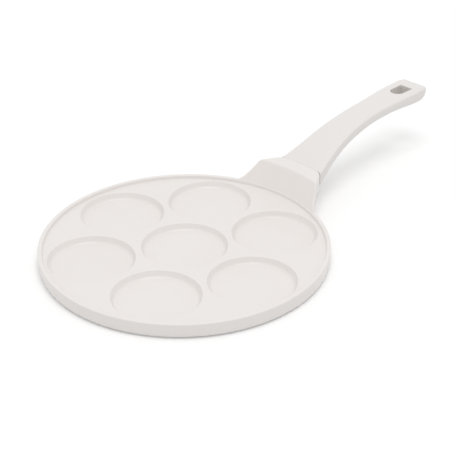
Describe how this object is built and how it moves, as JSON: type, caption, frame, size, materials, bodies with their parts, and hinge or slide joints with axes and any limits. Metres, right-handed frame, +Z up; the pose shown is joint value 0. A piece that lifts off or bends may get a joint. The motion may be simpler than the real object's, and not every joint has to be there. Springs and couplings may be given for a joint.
{
  "type": "pancake pan",
  "caption": "Round pancake pan with shallow round wells inside a low rim, a ridged cast neck and a rising moulded handle with a D-shaped hang hole.",
  "frame": {"origin": "on the pan's axis, at the flat underside that the pan stands on", "axes": "+Z up along the pan's axis, +X along the handle from the pan towards the hang hole, +Y completes a right-handed frame"},
  "size_m": [0.4676, 0.265, 0.0656],
  "materials": {
    "cream_ceramic_coating": "satin cream ceramic coating on die-cast aluminium",
    "cream_soft_touch": "matte soft-touch lacquer on moulded phenolic resin",
    "brushed_stainless": "brushed ferritic stainless steel",
    "zinc_plated_steel": "bright zinc plating on steel"
  },
  "bodies": {
    "root": {"pan_body": "cream_ceramic_coating", "induction_plate": "brushed_stainless", "handle": "cream_soft_touch", "flat_washer": "zinc_plated_steel", "spring_washer": "zinc_plated_steel", "handle_screw": "zinc_plated_steel"}
  },
  "joints": []
}
